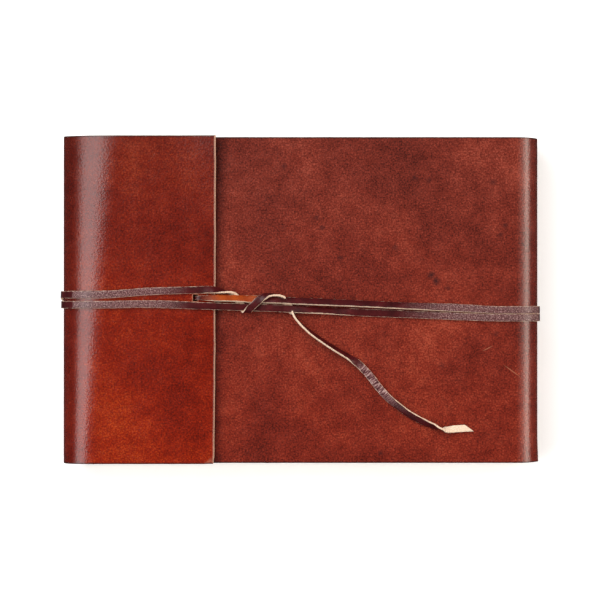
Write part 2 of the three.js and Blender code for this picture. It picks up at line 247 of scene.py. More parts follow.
def smooth_route(rows, step):
    """A cubic through the route points, each tangent from the parabola through its neighbours,
    sampled at even steps, with the grain direction carried along and kept square to the route."""
    at = np.array([r[:3] for r in rows], float) * MM
    look = np.array([r[3] for r in rows], float)
    look /= np.linalg.norm(look, axis=1)[:, None]
    gap = np.linalg.norm(np.diff(at, axis=0), axis=1)
    slope = np.diff(at, axis=0) / gap[:, None]
    before, after = gap[:-1, None], gap[1:, None]
    middle = (slope[:-1] * after + slope[1:] * before) / (before + after)
    tangent = np.vstack([slope[:1], middle, slope[-1:]])
    place = np.concatenate([[0], np.cumsum(gap)])
    fine = np.linspace(0, place[-1], int(place[-1] / (step * 0.25)))
    i = np.clip(np.searchsorted(place, fine, side="right") - 1, 0, len(gap) - 1)
    h = gap[i][:, None]
    t = ((fine - place[i]) / gap[i])[:, None]
    line = (
        (2 * t**3 - 3 * t**2 + 1) * at[i]
        + (t**3 - 2 * t**2 + t) * h * tangent[i]
        + (3 * t**2 - 2 * t**3) * at[i + 1]
        + (t**3 - t**2) * h * tangent[i + 1]
    )
    ease = t * t * (3 - 2 * t)
    looks = look[i] * (1 - ease) + look[i + 1] * ease
    run = np.concatenate([[0], np.cumsum(np.linalg.norm(np.diff(line, axis=0), axis=1))])
    even = np.linspace(0, run[-1], int(run[-1] / step) + 1)
    line = np.stack([np.interp(even, run, line[:, k]) for k in range(3)], axis=1)
    looks = np.stack([np.interp(even, run, looks[:, k]) for k in range(3)], axis=1)
    along = np.gradient(line, axis=0)
    along /= np.linalg.norm(along, axis=1)[:, None]
    looks -= (looks * along).sum(1)[:, None] * along
    looks /= np.linalg.norm(looks, axis=1)[:, None]
    return line, along, looks, even


def rising(value, start, width):
    """A share that is 0 up to start and grows to 1 over the width after it."""
    return np.clip((value - start) / width, 0, 1)


def falling(value, end, width):
    """A share that is 0 from end on and grows to 1 over the width before it."""
    return np.clip((end - value) / width, 0, 1)


def ripple(u, v, seed, waves, low, high):
    """A smooth random surface: a sum of sine waves of even strength, wavelengths from low to high,
    in random directions. Its value is about -1 to 1."""
    draw = np.random.default_rng(seed)
    total = np.zeros(np.broadcast(u, v).shape)
    for _ in range(waves):
        length = low * (high / low) ** draw.random()
        turn = draw.random() * 2 * np.pi
        shift = draw.random() * 2 * np.pi
        total += np.sin((u * np.cos(turn) + v * np.sin(turn)) * 2 * np.pi / length + shift)
    return total / np.sqrt(waves * 2)


def close_and_face_out(mesh):
    """Closes any open end of the mesh and turns all its faces the same way, outwards."""
    shell = bmesh.new()
    shell.from_mesh(mesh)
    bmesh.ops.holes_fill(shell, edges=shell.edges, sides=0)
    bmesh.ops.recalc_face_normals(shell, faces=shell.faces)
    shell.to_mesh(mesh)
    shell.free()


def finish_piece(mesh, materials, face_material=None, uv=None, values=None, seam=48):
    """An object at the origin from a mesh: its materials, its place on the hide as uv, its values
    for the materials to read, and smooth faces with seams sharper than seam degrees kept."""
    for material in materials:
        mesh.materials.append(material)
    if face_material is not None:
        mesh.polygons.foreach_set("material_index", face_material.ravel().astype(np.int32))
    if uv is not None:
        corner = np.zeros(len(mesh.loops), np.int32)
        mesh.loops.foreach_get("vertex_index", corner)
        layer = mesh.uv_layers.new(name="UVMap")
        layer.data.foreach_set("uv", uv.reshape(-1, 2)[corner].ravel().astype(np.float32))
    for key, value in (values or {}).items():
        layer = mesh.attributes.new(key, "FLOAT", "POINT")
        layer.data.foreach_set("value", value.ravel().astype(np.float32))
    close_and_face_out(mesh)
    mesh.polygons.foreach_set("use_smooth", np.ones(len(mesh.polygons), bool))
    mesh.set_sharp_from_angle(angle=np.radians(seam))
    mesh.update()
    made = bpy.data.objects.new(mesh.name, mesh)
    bpy.context.scene.collection.objects.link(made)
    return made


def mesh_piece(name, points, faces, *finish):
    """A piece from arrays of points and faces, finished as finish_piece says."""
    mesh = bpy.data.meshes.new(name)
    mesh.from_pydata(points.reshape(-1, 3), [], faces.reshape(-1, faces.shape[-1]))
    return finish_piece(mesh, *finish)


def grid_faces(rows, columns, first=0, closed=False):
    """The four-sided faces of a grid of points, wrapped round across its columns if closed."""
    r = np.arange(rows - 1)[:, None]
    c = np.arange(columns if closed else columns - 1)[None, :]
    n = (c + 1) % columns
    return np.stack(
        [r * columns + c, r * columns + n, (r + 1) * columns + n, (r + 1) * columns + c], axis=-1
    ).reshape(-1, 4) + first


def new_material(name):
    """An empty node material, its tree, its shader and a maker of further nodes."""
    material = bpy.data.materials.new(name)
    material.use_nodes = True
    tree = material.node_tree
    shader = tree.nodes["Principled BSDF"]

    def node(kind, settings=None, **inputs):
        made = tree.nodes.new("ShaderNode" + kind)
        for key, value in (settings or {}).items():
            setattr(made, key, value)
        for key, value in inputs.items():
            socket = made.inputs[int(key[1:])] if key[0] == "i" and key[1:].isdigit() else (
                made.inputs[key.replace("_", " ")])
            if isinstance(value, bpy.types.NodeSocket):
                tree.links.new(value, socket)
            else:
                socket.default_value = value
        return made

    return material, tree, shader, node


def ramp(node, value, stops):
    """A colour ramp with the given (place, colour) stops."""
    made = node("ValToRGB", i0=value)
    made.color_ramp.elements[0].position = stops[0][0]
    made.color_ramp.elements[0].color = stops[0][1]
    made.color_ramp.elements[1].position = stops[-1][0]
    made.color_ramp.elements[1].color = stops[-1][1]
    for place, colour in stops[1:-1]:
        made.color_ramp.elements.new(place).color = colour
    return made.outputs["Color"]


def grey(value):
    return (value, value, value, 1)


def mixed(node, share, first, second, how="MIX"):
    made = node("Mix", {"data_type": "RGBA", "blend_type": how}, i0=share)
    for socket, value in ((made.inputs[6], first), (made.inputs[7], second)):
        if isinstance(value, bpy.types.NodeSocket):
            made.id_data.links.new(value, socket)
        else:
            socket.default_value = value
    return made.outputs[2]


def attribute(node, name):
    return node("Attribute", {"attribute_name": name}).outputs["Fac"]


def noise(node, place, scale, detail, roughness=0.5):
    return node("TexNoise", Vector=place, Scale=scale, Detail=detail, Roughness=roughness).outputs["Fac"]


def worked(node, how, *values):
    """The result of a sum, product or the like of sockets and numbers."""
    inputs = {f"i{place}": value for place, value in enumerate(values)}
    return node("Math", {"operation": how}, **inputs).outputs[0]


def raise_surface(tree, shader, node, height, strength, distance):
    bump = node("Bump", Strength=strength, Distance=distance, Height=height)
    tree.links.new(bump.outputs["Normal"], shader.inputs["Normal"])


def lace_grain_material():
    """Oxblood strap leather: fine grain, cross wrinkles where it bends, an undyed orange stretch, and
    painted sheen.
    """
    material, tree, shader, node = new_material("lace_grain")
    place = node("UVMap").outputs["UV"]
    grain = noise(node, place, 1500.0, 5.0, 0.6)
    patch = noise(node, place, 160.0, 3.0)
    dye = attribute(node, "dye")
    dark = ramp(node, patch, [(0.35, (0.042, 0.003, 0.004, 1)), (0.7, (0.095, 0.007, 0.009, 1))])
    # painted sheen: a pale grey speckle that stands in for the reflection on the lace's grain
    bloom = attribute(node, "bloom")
    wave = attribute(node, "wrinkle")
    squeezed = node("Mapping", Vector=place, Scale=(0.3, 1, 1)).outputs["Vector"]
    lines = noise(node, squeezed, 1150.0, 2.0)
    speck = noise(node, place, 1700.0, 3.0)
    fleck = node("Mix", i0=wave, i2=speck, i3=lines).outputs[0]
    sheen_colour = ramp(node, fleck, [(0.4, (0.075, 0.022, 0.026, 1)), (0.52, (0.22, 0.10, 0.10, 1)),
                               (0.64, (0.52, 0.34, 0.32, 1))])
    dark = mixed(node, bloom, dark, sheen_colour)
    orange = ramp(node, patch, [(0.3, (0.29, 0.036, 0.005, 1)), (0.7, (0.5, 0.09, 0.01, 1))])
    worn = mixed(node, dye, dark, orange)
    flecks = ramp(node, grain, [(0.35, grey(0.25)), (0.65, grey(1.0))])
    tree.links.new(mixed(node, 0.5, worn, flecks, "MULTIPLY"), shader.inputs["Base Color"])
    rough = ramp(node, grain, [(0.3, grey(0.28)), (0.7, grey(0.4))])
    tree.links.new(rough, shader.inputs["Roughness"])
    height = worked(node, "ADD", worked(node, "MULTIPLY", lines, wave), grain)
    raise_surface(tree, shader, node, height, 0.5, 0.0001)
    shader.inputs["Specular IOR Level"].default_value = 0.35
    return material


def raw_leather_material(name, light, dark):
    """Cut or flesh side of vegetable-tanned leather: pale, dull and fibrous."""
    material, tree, shader, node = new_material(name)
    place = node("UVMap").outputs["UV"]
    fibre = noise(node, place, 1800.0, 6.0, 0.7)
    tree.links.new(ramp(node, fibre, [(0.3, dark), (0.62, light)]), shader.inputs["Base Color"])
    raise_surface(tree, shader, node, fibre, 0.5, 0.0002)
    shader.inputs["Roughness"].default_value = 0.92
    shader.inputs["Specular IOR Level"].default_value = 0.2
    return material


lace_route = (
    THROUGH_SLIT
    + FIRST_FRONT
    + round_spine(SPINE_Y[0])
    + up_the_roll(FORE_UPPER, FORE_LOWER, 0.0)
    + over_the_roll(FORE_LOWER)
    + SECOND_FRONT
    + round_spine(SPINE_Y[1])
    + up_the_roll(FORE_LOWER, FORE_UPPER, 1.2)
    + over_the_roll(FORE_UPPER)
    + HITCH
    + TAIL
)
lace_line, lace_along, lace_look, lace_run = smooth_route(lace_route, LACE_STEP)
LACE_LENGTH = float(lace_run[-1])
lace_side = np.cross(lace_along, lace_look)

# The strip's section: across and through, as shares of half its width and half its thickness.
LACE_SECTION = np.array([
    (-0.95, 1.0), (-0.5, 1.04), (0, 1.06), (0.5, 1.04), (0.95, 1.0), (1.0, 0.72), (1.0, 0),
    (1.0, -0.72), (0.95, -1.0), (0.5, -1.0), (0, -1.0), (-0.5, -1.0), (-0.95, -1.0),
    (-1.0, -0.72), (-1.0, 0), (-1.0, 0.72),
])
LACE_FACE_KIND = np.array([0, 0, 0, 0, 1, 1, 1, 1, 2, 2, 2, 2, 1, 1, 1, 1])
rings = len(lace_line)
sides = len(LACE_SECTION)
under = falling(lace_line[:, 2], 6 * MM, 4 * MM)
narrow = np.clip(1 - (lace_run - 11 * MM) / (11 * MM), 0, 1)
half_width = LACE_WIDTH / 2 * (1 + 0.05 * ripple(lace_run, 0, 3, 6, 0.02, 0.12) - 0.5 * narrow)
half_thick = LACE_THICKNESS / 2 * (1 - 0.12 * under)
fray = ripple(lace_run[:, None], np.arange(sides)[None, :] * 0.01, 5, 14, 0.0012, 0.006)
edge = np.abs(LACE_SECTION[:, 0]) > 0.9
across = LACE_SECTION[None, :, 0] * half_width[:, None] + np.sign(LACE_SECTION[None, :, 0]) * (
    edge[None, :] * fray * 0.05 * MM)
through = LACE_SECTION[None, :, 1] * half_thick[:, None]
lace_points = (
    lace_line[:, None, :]
    + lace_side[:, None, :] * across[..., None]
    + lace_look[:, None, :] * through[..., None]
)
lace_points[..., 2] = np.maximum(lace_points[..., 2], LACE_CLEAR)
# the tip is cut on a slant
TIP_LENGTH = 5 * MM
slant = rising(lace_run, LACE_LENGTH - TIP_LENGTH, TIP_LENGTH)[:, None]
lace_points -= lace_along[:, None, :] * (slant * across * 1.2)[..., None]
lace_faces = grid_faces(rings, sides, closed=True)[:, ::-1]
cap_centre = np.stack([lace_points[0].mean(0), lace_points[-1].mean(0)])
ring = np.arange(sides)
ahead = (ring + 1) % sides
start_cap = np.stack([np.full(sides, rings * sides), ring, ahead], axis=1)
end_cap = np.stack([np.full(sides, rings * sides + 1), (rings - 1) * sides + ahead,
                    (rings - 1) * sides + ring], axis=1)
caps = np.vstack([start_cap, end_cap])
lace_uv = np.stack(np.broadcast_arrays(across, lace_run[:, None]), axis=-1).reshape(-1, 2)
orange_from, orange_to = 13 * MM, 42 * MM
dye = rising(lace_run, orange_from, 10 * MM) * falling(lace_run, orange_to, 4 * MM)
bent_from, bent_to = LACE_LENGTH - 64 * MM, LACE_LENGTH - 37 * MM
wrinkle = rising(lace_run, bent_from, 3 * MM) * falling(lace_run, bent_to, 6 * MM)
dye = np.append(np.repeat(dye, sides), (0, 0))
lace_points = np.vstack([lace_points.reshape(-1, 3), cap_centre])
lace_uv = np.vstack([lace_uv, [[0, 0], [0, LACE_LENGTH]]])
lace_mesh_faces = [tuple(f) for f in lace_faces] + [tuple(f) for f in caps]
kinds = np.concatenate([np.tile(LACE_FACE_KIND, rings - 1), np.ones(2 * sides, int)])

lace_mesh = bpy.data.meshes.new("lace")
lace_mesh.from_pydata(lace_points, [], lace_mesh_faces)
# painted sheen: paler grey where it lies on the front near the fore edge and near the spine, and in the
# tail's bend
NOSE_LIMIT = -106 * MM
lace_x = lace_line[:, 0]
bloom = (lace_line[:, 2] > 20 * MM) * (
    0.75 * falling(lace_x, -52 * MM, 14 * MM) * (lace_x > NOSE_LIMIT)
    + 0.75 * rising(lace_x, 45 * MM, 25 * MM) * (lace_run < bent_from)
)
bloom = np.maximum(bloom, wrinkle * 0.95)
bloom = np.append(np.repeat(bloom, sides), (0, 0))
wrinkle = np.append(np.repeat(wrinkle, sides), (0, 0))
lace_finishes = [
    lace_grain_material(),
    raw_leather_material("lace_edge", (0.84, 0.66, 0.5, 1), (0.5, 0.3, 0.2, 1)),
    raw_leather_material("lace_flesh", (0.86, 0.7, 0.54, 1), (0.62, 0.42, 0.29, 1)),
]
lace = finish_piece(lace_mesh, lace_finishes, kinds, lace_uv,
                    {"dye": dye, "wrinkle": wrinkle, "bloom": bloom}, seam=55)
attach(lace, "flap")
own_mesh(lace)
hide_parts("lace_end", "lace_turn_1", "lace_turn_2", "lace_hitch", "lace_tail")


# ---------------------------------------------------------------------------
# Cover. Back, spine and front are one length of brown-red hide. It is limp, with no boards, and
# its edges are simply cut. The same hide goes on past the back as the fore edge and the flap.
# ---------------------------------------------------------------------------
HIDE = 1.8 * MM
EDGE_ROUND = 0.4 * MM
EDGE_LINES = np.array([0, 0.05, 0.13, 0.25, 0.4, 0.9]) * MM
COVER_HEAD = 75.95 * MM
COVER_TAIL = 75.95 * MM
WEAVE = 1.6 * MM


def grid_lines(low, high, step, cut_low=True, cut_high=True, also=()):
    """Places from low to high about a step apart, with extra ones close to a cut edge."""
    inner = np.linspace(low, high, max(3, int(round((high - low) / step)) + 1))
    if len(also):
        clear = np.abs(inner[:, None] - np.array(also)[None, :]).min(axis=1) > step * 0.45
        inner = inner[clear | (inner == low) | (inner == high)]
    parts = [inner, np.array(also)]
    if cut_low:
        parts = [p[p > low + EDGE_LINES[-1] + step * 0.3] for p in parts] + [low + EDGE_LINES]
    if cut_high:
        parts = [p[p < high - EDGE_LINES[-1] - step * 0.3] for p in parts] + [high - EDGE_LINES]
    return np.unique(np.round(np.concatenate(parts), 8))


def thick_hide(name, outer, cut, kinds, materials, uv, values, skive=0.0, hole=None, pressed=0.0,
               pared=0.0):
    """A sheet of hide from a grid of places on its grain side. The flesh side is the same grid moved
    in along the normal by the thickness, and the corners of the cut edges fall away in a quarter
    circle. Rims of three strips close the borders, bulging slightly and ragged; skive moves the
    flesh side out past the grain side at the last row. hole leaves out a block of the grid, and
    pressed is how far the grain side is pressed in. pared is how much is cut off the flesh side.
    cut and kinds are for the first row, last row, first column and last column."""
    rows, columns = outer.shape[:2]
    normal = np.cross(np.gradient(outer, axis=0), np.gradient(outer, axis=1))
    normal /= np.linalg.norm(normal, axis=-1)[..., None]
    steps_r = np.linalg.norm(np.diff(outer, axis=0), axis=-1)
    steps_c = np.linalg.norm(np.diff(outer, axis=1), axis=-1)
    run_r = np.vstack([np.zeros((1, columns)), np.cumsum(steps_r, axis=0)])
    run_c = np.hstack([np.zeros((rows, 1)), np.cumsum(steps_c, axis=1)])
    far = np.full((rows, columns), 1.0)
    reach = [run_r, run_r[-1:] - run_r, run_c, run_c[:, -1:] - run_c]
    to_edge = np.minimum.reduce([r if c else far for r, c in zip(reach, cut)])
    to_side = np.minimum.reduce([r if c else far for r, c in zip(reach[2:], cut[2:])])
    inside = np.clip(to_edge / EDGE_ROUND, 0, 1)
    fall = EDGE_ROUND * (1 - np.sqrt(1 - (1 - inside) ** 2))
    out = np.gradient(outer, axis=0)
    out /= np.linalg.norm(out, axis=-1)[..., None]
    top = outer - normal * (fall + pressed)[..., None]
    bottom = outer - normal * (HIDE - pared - fall)[..., None]
    bottom += out * (skive * np.clip(1 - reach[1] / (3 * MM), 0, 1))[..., None]
    size = rows * columns
    index = np.arange(size).reshape(rows, columns)
    quads = grid_faces(rows, columns)
    if hole is not None:
        r0, r1, c0, c1 = hole
        gone = np.zeros((rows - 1, columns - 1), bool)
        gone[r0:r1, c0:c1] = True
        quads = quads[~gone.ravel()]
    points = [top.reshape(-1, 3), bottom.reshape(-1, 3)]
    flat_uv = [uv.reshape(-1, 2)] * 2
    extra = {key: [v.ravel()] * 2 for key, v in values.items()}
    extra["edge"] = [to_side.ravel() / MM] * 2
    faces = [quads, quads[:, ::-1] + size]
    kind = [np.zeros(len(quads)), np.full(len(quads), 3)]
    total = 2 * size
    borders = [(index[:, 0][::-1], kinds[2]), (index[0], kinds[0]), (index[:, -1], kinds[3]),
               (index[-1][::-1], kinds[1])]
    loops = [(np.concatenate([b[:-1] for b, _ in borders]),
              np.concatenate([np.full(len(b) - 1, k) for b, k in borders]))]
    if hole is not None:
        inner = np.concatenate([index[r0, c1:c0:-1], index[r0:r1, c0], index[r1, c0:c1],
                                index[r1:r0:-1, c1]])
        loops.append((inner, np.full(len(inner), kinds[1])))
    draw = np.random.default_rng(rows * 7 + columns)
    for loop, loop_kind in loops:
        upper, lower = points[0][loop], points[1][loop]
        onward = np.roll(loop, -1)
        along = points[0][onward] - points[0][np.roll(loop, 1)]
        side = np.cross(along, normal.reshape(-1, 3)[loop])
        side /= np.linalg.norm(side, axis=1)[:, None] + 1e-12
        rings = [loop]
        for share in (0.3, 0.65):
            ragged = (0.05 + 0.05 * draw.standard_normal(len(loop))) * MM
            points.append(upper * (1 - share) + lower * share + side * ragged[:, None])
            flat_uv.append(flat_uv[0][loop] + side[:, :2] * share * MM)
            for key in extra:
                extra[key].append(extra[key][0][loop])
            rings.append(total + np.arange(len(loop)))
            total += len(loop)
        rings.append(loop + size)
        for above, below in zip(rings[:-1], rings[1:]):
            faces.append(np.stack([above, np.roll(above, -1), np.roll(below, -1), below], axis=1))
            kind.append(loop_kind)
    return mesh_piece(name, np.concatenate(points), np.concatenate(faces), materials,
                      np.concatenate(kind), np.concatenate(flat_uv),
                      {key: np.concatenate(v) for key, v in extra.items()})


def spotted(node, place, ragged, spots):
    """Darkness of a few soft stains with ragged outlines: each is x, y and radius in millimetres,
    and a strength. It falls from the strength at the middle to nothing at the radius."""
    total = None
    for x, y, radius, strength in spots:
        away = node("VectorMath", {"operation": "DISTANCE"}, i0=place, i1=(x * MM, y * MM, 0))
        rough = worked(node, "MULTIPLY_ADD", ragged, 3.0 * MM, away.outputs["Value"])
        near = node("MapRange", {"interpolation_type": "SMOOTHSTEP"}, i0=rough,
                    i1=1.4 * MM, i2=(radius + 1.4) * MM, i3=strength, i4=0.0).outputs["Result"]
        total = near if total is None else worked(node, "MAXIMUM", total, near)
    return total


def scratched(node, place, scratches):
    """Share of pale scratch: each is a hairline, found by turning the place to lie along it."""
    total = None
    for x, y, half, turn in scratches:
        to_middle = node("VectorMath", {"operation": "SUBTRACT"}, i0=place, i1=(x * MM, y * MM, 0))
        turned = node("VectorRotate", {"rotation_type": "Z_AXIS"}, Vector=to_middle.outputs["Vector"],
                      Angle=-np.radians(turn)).outputs["Vector"]
        scaled = node("VectorMath", {"operation": "MULTIPLY"}, i0=turned,
                      i1=(1 / (half * MM), 1 / (0.28 * MM), 0)).outputs["Vector"]
        away = node("VectorMath", {"operation": "LENGTH"}, i0=scaled).outputs["Value"]
        near = node("MapRange", i0=away, i1=0.5, i2=1.0, i3=0.6, i4=0.0).outputs["Result"]
        total = near if total is None else worked(node, "MAXIMUM", total, near)
    return total


def hide_material(name, plain_tones, warm_tones, spots, scratches):
    """Dyed, waxed hide. Clouds, blotches and flecks of noise add up and pick a colour from a ramp,
    one ramp for the plain brown-red parts and one for the burnished orange ones, mixed by the warm
    attribute. Pores and a pebbled grain are pressed in. Over that go painted shade (the flap's
    shadow on the front, and darker toward the head of the flap and the fore edge), stains,
    scratches, wear, painted shade on the steep sides of the spine and the fore edge, and a dark
    line beside the cut edges."""
    material, tree, shader, node = new_material(name)
    place = node("UVMap").outputs["UV"]
    warm = attribute(node, "warm")
    edge = attribute(node, "edge")
    wear = attribute(node, "wear")
    warp = node("TexNoise", Vector=place, Scale=90.0, Detail=2.0)
    shifted = node("VectorMath", {"operation": "MULTIPLY_ADD"}, i0=warp.outputs["Color"],
                   i1=(0.008, 0.008, 0), i2=place).outputs["Vector"]
    cloud = noise(node, shifted, 22.0, 5.0, 0.6)
    blotch = noise(node, place, 130.0, 4.0, 0.65)
    fleck = noise(node, place, 1350.0, 3.0, 0.6)
    two = worked(node, "MULTIPLY_ADD", blotch, 0.5, cloud)
    three = worked(node, "MULTIPLY_ADD", fleck, 1.55, two)
    tone = node("MapRange", i0=three, i1=1.175, i2=1.875).outputs["Result"]
    colour = mixed(node, warm, ramp(node, tone, plain_tones), ramp(node, tone, warm_tones))
    pores = node("TexVoronoi", Vector=place, Scale=820.0).outputs["Distance"]
    pitted = ramp(node, pores, [(0.0, grey(1.0)), (0.45, grey(0.93)), (0.8, grey(0.6))])
    colour = mixed(node, 0.6, colour, pitted, "MULTIPLY")
    ragged = noise(node, place, 520.0, 3.0, 0.7)
    stain = spotted(node, place, ragged, spots)
    # painted shade: the flap's shadow on the front, and darker toward the head of the flap and the fore
    # edge
    shade = attribute(node, "shade")
    colour = mixed(node, shade, colour, (0.36, 0.27, 0.27, 1), "MULTIPLY")
    colour = mixed(node, stain, colour, (0.035, 0.008, 0.008, 1))
    colour = mixed(node, scratched(node, place, scratches), colour, (0.42, 0.15, 0.08, 1))
    colour = mixed(node, wear, colour, (0.42, 0.17, 0.1, 1))
    # painted shade on the steep sides of the spine and the fore edge, which turn away from the light
    bend = attribute(node, "bend")
    colour = mixed(node, bend, colour, (0.55, 0.4, 0.3, 1), "MULTIPLY")
    rim = node("MapRange", i0=edge, i1=0.1, i2=0.95, i3=0.95, i4=0.0).outputs["Result"]
    colour = mixed(node, rim, colour, (0.03, 0.006, 0.005, 1))
    tree.links.new(colour, shader.inputs["Base Color"])
    rough = node("MapRange", i0=blotch, i1=0.3, i2=0.7, i3=0.23, i4=0.29).outputs["Result"]
    tree.links.new(rough, shader.inputs["Roughness"])
    pebble = node("TexVoronoi", {"feature": "SMOOTH_F1"}, Vector=place, Scale=1250.0, Smoothness=0.8)
    fine = noise(node, place, 2200.0, 2.0)
    height = worked(node, "MULTIPLY_ADD", fine, 0.35, pebble.outputs["Distance"])
    raise_surface(tree, shader, node, height, 0.5, 0.00013)
    shader.inputs["Specular IOR Level"].default_value = 0.55
    return material


COVER_TONES = [
    (0.0, (0.044, 0.006, 0.004, 1)),
    (0.35, (0.134, 0.017, 0.010, 1)),
    (0.65, (0.196, 0.027, 0.015, 1)),
    (1.0, (0.33, 0.062, 0.036, 1)),
]
FLAP_TONES = [
    (0.0, (0.085, 0.004, 0.001, 1)),
    (0.35, (0.185, 0.008, 0.001, 1)),
    (0.65, (0.265, 0.014, 0.001, 1)),
    (1.0, (0.40, 0.044, 0.004, 1)),
]
# Stains on the front: x, y, radius in millimetres, strength.
COVER_SPOTS = [
    (61.0, 11.6, 2.8, 0.85), (63.3, 8.8, 3.0, 0.95), (53.3, 56.8, 2.2, 0.65), (59.8, 55.8, 2.0, 0.6),
    (89.9, 54.9, 2.4, 0.6), (44.3, 24.4, 2.4, 0.6), (7.7, 38.5, 2.2, 0.6), (10.1, 33.8, 2.2, 0.6),
    (-8.2, 33.8, 2.2, 0.5), (18.5, 19.7, 2.2, 0.6), (-7.7, 62.4, 2.2, 0.6), (95.5, 34.7, 2.2, 0.6),
    (93.2, 30.5, 2.2, 0.5), (68.7, 5.6, 2.2, 0.6), (37.3, -71.3, 2.0, 0.65), (91.3, -16, 2.2, 0.5),
    (65.9, -30.5, 2.2, 0.5),
]
# Pale scratches on the front: middle x, middle y and half length in millimetres, turn in degrees.
COVER_SCRATCHES = [(98.5, -33.0, 5.3, -36.0), (87.2, -22.6, 3.0, 27.0)]
hide_grain = hide_material("hide_grain", COVER_TONES, FLAP_TONES, COVER_SPOTS, COVER_SCRATCHES)
dark_edge = raw_leather_material("hide_dark_edge", (0.09, 0.02, 0.014, 1), (0.03, 0.008, 0.006, 1))
pale_edge = raw_leather_material("hide_pale_edge", (0.66, 0.42, 0.32, 1), (0.34, 0.15, 0.09, 1))
flesh_side = raw_leather_material("hide_flesh", (0.45, 0.22, 0.13, 1), (0.3, 0.13, 0.075, 1))
HIDE_MATERIALS = [hide_grain, dark_edge, pale_edge, flesh_side]
DARK, PALE = 1, 2

FRONT_EDGE_X = cover_low.x


def lace_bed(x, y, z):
    """The shallow bed that the two strands have pressed into the underside: a band between two
    slanting lines, with smoothstep sides, fading out as the hide turns up."""
    side_width = 1.2 * MM
    depth = 1.3 * MM
    share = (x + 103 * MM) / (211 * MM)
    low_side = (-4.6 - 6.0 * share) * MM
    high_side = (4.9 - 7.1 * share) * MM
    a = rising(y, low_side, side_width)
    b = falling(y, high_side, side_width)
    return depth * a * a * (3 - 2 * a) * b * b * (3 - 2 * b) * falling(z, 5 * MM, 3 * MM)


SPINE_START = SPINE_X * MM
arc = SPINE_ROUND * MM
turn = np.radians(np.linspace(90, 0, 22))
upper_arc = np.stack([SPINE_START + arc * np.cos(turn), COVER_TOP - arc + arc * np.sin(turn)], axis=1)
lower_arc = np.stack([upper_arc[::-1, 0], COVER_TOP - upper_arc[::-1, 1]], axis=1)
upright = np.linspace(upper_arc[-1], lower_arc[0], 8)[1:-1]
front_x = grid_lines(FRONT_EDGE_X, SPINE_START, WEAVE, True, False)[:-1]
back_x = np.linspace(SPINE_START, ROLL_X * MM, 120)[1:]
cover_line = np.vstack([
    np.stack([front_x, np.full(len(front_x), COVER_TOP)], axis=1),
    upper_arc, upright, lower_arc,
    np.stack([back_x, np.zeros(len(back_x))], axis=1),
])
cover_s = FRONT_EDGE_X + np.concatenate(
    [[0], np.cumsum(np.linalg.norm(np.diff(cover_line, axis=0), axis=1))])
LACE_BED_LINES = np.arange(-11, 5.6, 0.8) * MM
cover_y = grid_lines(-COVER_TAIL, COVER_HEAD, WEAVE, also=LACE_BED_LINES)
x = cover_line[:, None, 0] + 0 * cover_y
z = cover_line[:, None, 1] + 0 * cover_y
y = cover_y[None, :] + 0 * x
# the hide draws in a little where it turns over the spine, and flares at the tail end
SPINE_DRAW_IN = 0.0045
SPINE_FLARE = 0.45 * MM
turned = rising(x, SPINE_START, arc) ** 2
y = y * (1 - SPINE_DRAW_IN * turned)
x = x + turned * SPINE_FLARE * rising(-y, 60 * MM, 16 * MM) ** 2
on_front = (z > COVER_TOP - 1e-6) & (x < SPINE_START)
sway = ripple(cover_s[:, None], cover_y[None, :], 11, 10, 0.035, 0.12)
z = z - on_front * (0.14 + 0.12 * sway) * MM * falling(x, SPINE_START, 12 * MM)
cover_uv = np.stack([cover_s[:, None] + 0 * y, y], axis=-1)
back_share = rising(cover_s[:, None], 150 * MM, 250 * MM) + 0 * y
# painted shadow of the flap: the front is painted darker under the flap, fading out a few millimetres
# past the flap's edge
past_flap = x - flap_high.x
shadow_fade_width = (5.0 + 4.0 * np.clip(y / COVER_HEAD, 0, 1)) * MM
flap_shadow_paint = 0.97 * (z > COVER_TOP / 2) * np.clip(1 - past_flap / shadow_fade_width, 0, 1)
# the hide is pared thin along the middle of the spine, where it creases when the book opens
off_crease = np.abs(z - COVER_TOP / 2)
PARED = 1.35 * MM
pared = PARED * (x > SPINE_START + arc / 2) * np.clip(2.4 - off_crease / (1.4 * MM), 0, 1)
cover = thick_hide("cover_hide", np.stack([x, y, z], axis=-1), (True, False, True, True),
                   (PALE, DARK, DARK, DARK), HIDE_MATERIALS, cover_uv,
                   {"warm": np.maximum(0.5 * back_share, 0.4 * np.clip(0.5 - 0.7 * y / COVER_HEAD, 0, 1)),
                    "wear": 0 * y,
                    # painted shade on the steep outer part of the spine
                    "bend": np.clip((x - SPINE_START) / arc * 2.2 - 1.2, 0, 1),
                    "shade": flap_shadow_paint},
                   pressed=lace_bed(x, y, z), pared=pared)
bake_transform(cover)
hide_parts("back_cover", "spine_lower", "spine_upper", "front_cover")


# ---------------------------------------------------------------------------
# Fore edge and flap. Past the back the hide turns up round the pages in a soft roll, slacker at
# the head than at the tail, and lies over the front. Handling has burnished it more orange.
# ---------------------------------------------------------------------------
FLAP_EDGE = flap_high.x
FLAP_HEAD = 76.65 * MM
FLAP_TAIL = 76.4 * MM
NOSE_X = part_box("fore_edge_roll")[0].x
ROLL_MIDDLE = FLAP_TOP / 2
SLIT_X = (-50.1 * MM, -47.8 * MM)
SLIT_Y = (-0.55 * MM, 2.55 * MM)
SLIT_RIM = np.array([-0.5, -0.2]) * MM
SLIT_LINES_X = np.concatenate([SLIT_X, SLIT_X[0] + SLIT_RIM, SLIT_X[1] - SLIT_RIM])
SLIT_LINES_Y = np.concatenate([SLIT_Y, SLIT_Y[0] + SLIT_RIM, SLIT_Y[1] - SLIT_RIM])

